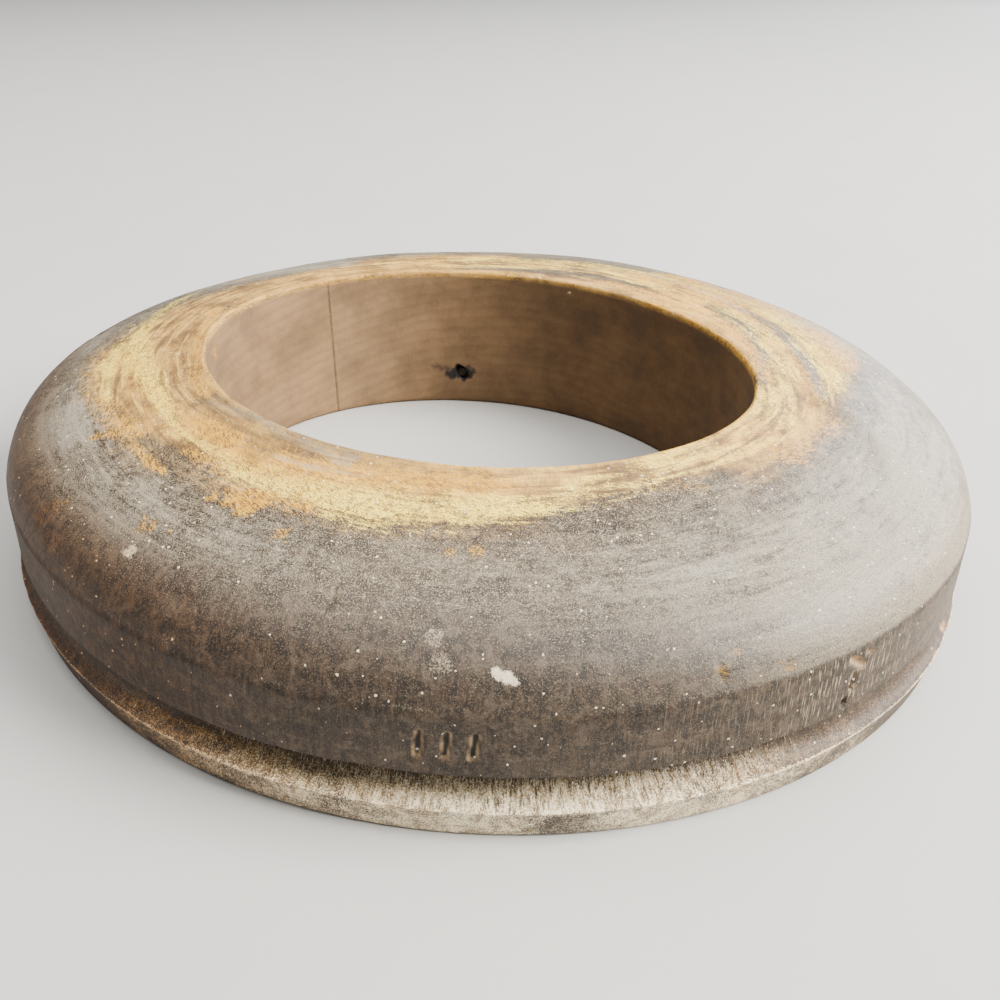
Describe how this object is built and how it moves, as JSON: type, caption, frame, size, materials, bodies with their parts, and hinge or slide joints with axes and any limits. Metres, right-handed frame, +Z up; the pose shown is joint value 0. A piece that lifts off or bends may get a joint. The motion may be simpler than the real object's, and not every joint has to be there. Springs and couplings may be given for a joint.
{
  "type": "hat block",
  "caption": "Oval wooden brim block for hat making: a convex ring round an oval head opening, with an undercut groove for the blocking cord above a thin rim.",
  "frame": {"origin": "middle of the block's outline, on the surface that it stands on", "axes": "+X across the planks, +Y along their grain, towards the back of the pictured view, +Z up. The head opening's long axis is turned 21.9 degrees clockwise from +X, seen from above."},
  "size_m": [0.328, 0.3166, 0.0613],
  "materials": {
    "weathered_wood": "bare old hardwood, grey-brown with handling and felt dust, tan where it is rubbed",
    "rusted_iron": "dark rusted iron"
  },
  "bodies": {
    "root": {"left_plank": "weathered_wood", "middle_front_block": "weathered_wood", "middle_rear_block": "weathered_wood", "right_plank": "weathered_wood", "nail_stub": "rusted_iron"}
  },
  "joints": []
}
